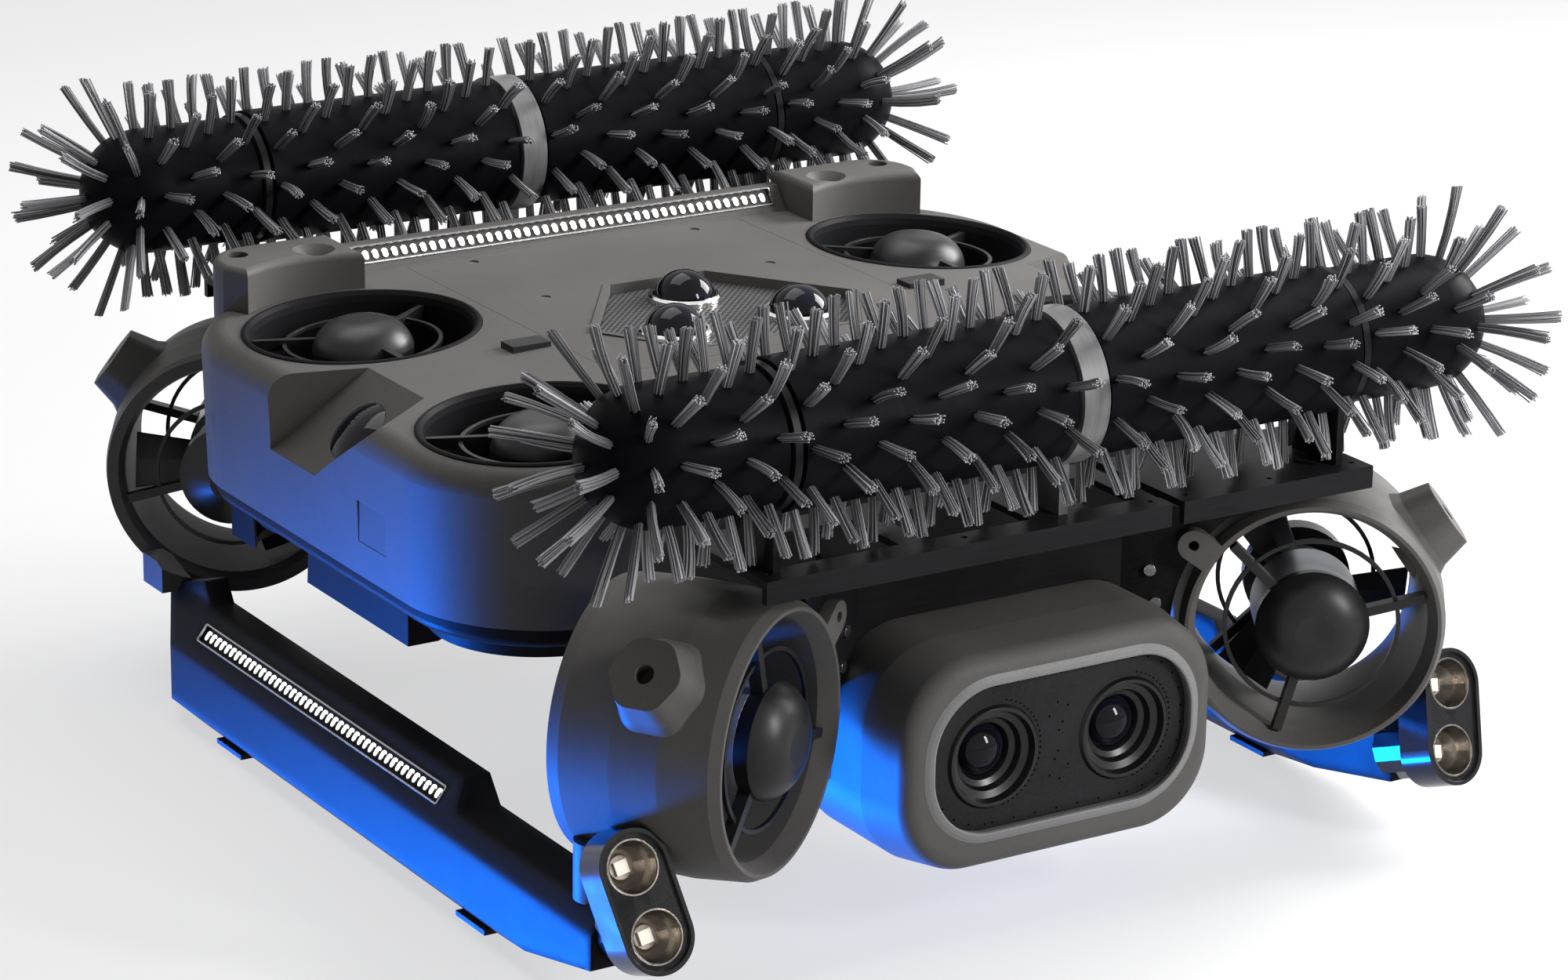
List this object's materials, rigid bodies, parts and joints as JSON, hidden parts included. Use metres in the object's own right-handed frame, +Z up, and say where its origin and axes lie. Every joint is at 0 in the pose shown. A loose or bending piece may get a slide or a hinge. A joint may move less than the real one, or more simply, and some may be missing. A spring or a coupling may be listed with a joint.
{
  "type": "hull cleaning robot",
  "caption": "Underwater hull cleaning robot with two bristle brushes, ducted thrusters, side skids, stereo camera and lights.",
  "frame": {"origin": "under the middle of the robot, on the surface that its skid pads stand on", "axes": "+Z up, the cameras look along -Y, +X to the right in a view along +Y"},
  "size_m": [0.882, 0.9976, 0.5036],
  "materials": {
    "shell_grey": "satin moulded shell",
    "shell_dark": "satin dark shell",
    "plate_black": "black anodised plate",
    "core_black": "satin brush core",
    "bristle": "translucent nylon bristle bundles",
    "ring_light": "brushed light ring",
    "motor_light": "bead-blasted motor can",
    "rubber_black": "rubber",
    "steel": "bare steel",
    "glass_clear": "clear glass",
    "lens_black": "dark glossy",
    "chrome_bright": "mirror reflector",
    "led_white": "white LED",
    "blade_black": "gloss black blades"
  },
  "bodies": {
    "chassis": {"upper_shell": "shell_grey", "lower_shell": "shell_dark", "belly_pan": "shell_dark", "deck_panel": "shell_grey", "sensor_bezel": "shell_grey", "sensor_grille": "plate_black", "sensor_rings": "chrome_bright", "sensor_domes": "lens_black", "side_lenses": "lens_black", "rubber_pads": "rubber_black", "rear_posts": "shell_grey", "light_bar": "shell_grey", "led_lights": "led_white", "chassis_plate": "plate_black", "pressure_bottles": "plate_black", "front_bulkhead": "plate_black", "rear_bulkhead": "plate_black", "side_plates": "plate_black", "drive_rings": "ring_light", "front_frame_main": "plate_black", "front_frame_end": "plate_black", "rear_frame": "plate_black", "camera_housing": "shell_grey", "camera_faceplate": "plate_black", "lens_barrels": "lens_black", "lens_domes": "glass_clear", "skid_left": "shell_dark", "skid_right": "shell_dark", "lift_guards": "blade_black", "thruster_guards": "blade_black", "thruster_motors": "motor_light", "lamp_housings": "lens_black", "lamp_reflectors": "chrome_bright", "lamp_covers": "glass_clear", "fasteners": "steel", "lift_duct_front_left": "shell_grey", "lift_duct_front_right": "shell_grey", "lift_duct_rear_left": "shell_grey", "lift_duct_rear_right": "shell_grey", "shroud_front_left": "shell_grey", "shroud_front_right": "shell_grey", "shroud_rear_left": "shell_grey", "shroud_rear_right": "shell_grey"},
    "front_brush": {"front_brush_shaft": "steel", "front_brush_core_mid": "core_black", "front_brush_core_end": "core_black", "front_brush_tufts": "bristle"},
    "rear_brush": {"rear_brush_shaft": "steel", "rear_brush_core_mid": "core_black", "rear_brush_core_end": "core_black", "rear_brush_tufts": "bristle"},
    "lift_propeller_front_left": {"lift_prop_front_left": "blade_black"},
    "lift_propeller_front_right": {"lift_prop_front_right": "blade_black"},
    "lift_propeller_rear_left": {"lift_prop_rear_left": "blade_black"},
    "lift_propeller_rear_right": {"lift_prop_rear_right": "blade_black"},
    "thruster_propeller_front_left": {"thruster_prop_front_left": "blade_black"},
    "thruster_propeller_front_right": {"thruster_prop_front_right": "blade_black"},
    "thruster_propeller_rear_left": {"thruster_prop_rear_left": "blade_black"},
    "thruster_propeller_rear_right": {"thruster_prop_rear_right": "blade_black"}
  },
  "joints": [
    {"name": "front_brush_spin", "type": "hinge", "parent": "chassis", "child": "front_brush", "pos_m": [0, -0.401, 0.407], "axis": [1, 0, 0], "continuous": true},
    {"name": "rear_brush_spin", "type": "hinge", "parent": "chassis", "child": "rear_brush", "pos_m": [0, 0.401, 0.407], "axis": [1, 0, 0], "continuous": true},
    {"name": "lift_front_left_spin", "type": "hinge", "parent": "chassis", "child": "lift_propeller_front_left", "pos_m": [-0.2607, -0.1301, 0.345], "axis": [-0.0523, 0, 0.9986], "continuous": true},
    {"name": "lift_front_right_spin", "type": "hinge", "parent": "chassis", "child": "lift_propeller_front_right", "pos_m": [0.2607, -0.1301, 0.345], "axis": [0.0523, 0, 0.9986], "continuous": true},
    {"name": "lift_rear_left_spin", "type": "hinge", "parent": "chassis", "child": "lift_propeller_rear_left", "pos_m": [-0.2607, 0.1571, 0.345], "axis": [-0.0523, 0, 0.9986], "continuous": true},
    {"name": "lift_rear_right_spin", "type": "hinge", "parent": "chassis", "child": "lift_propeller_rear_right", "pos_m": [0.2607, 0.1571, 0.345], "axis": [0.0523, 0, 0.9986], "continuous": true},
    {"name": "thruster_front_left_spin", "type": "hinge", "parent": "chassis", "child": "thruster_propeller_front_left", "pos_m": [-0.234, -0.4205, 0.187], "axis": [0.5299, -0.848, 0], "continuous": true},
    {"name": "thruster_front_right_spin", "type": "hinge", "parent": "chassis", "child": "thruster_propeller_front_right", "pos_m": [0.234, -0.4205, 0.187], "axis": [-0.5299, -0.848, 0], "continuous": true},
    {"name": "thruster_rear_left_spin", "type": "hinge", "parent": "chassis", "child": "thruster_propeller_rear_left", "pos_m": [-0.234, 0.4205, 0.187], "axis": [0.5299, 0.848, 0], "continuous": true},
    {"name": "thruster_rear_right_spin", "type": "hinge", "parent": "chassis", "child": "thruster_propeller_rear_right", "pos_m": [0.234, 0.4205, 0.187], "axis": [-0.5299, 0.848, 0], "continuous": true}
  ]
}
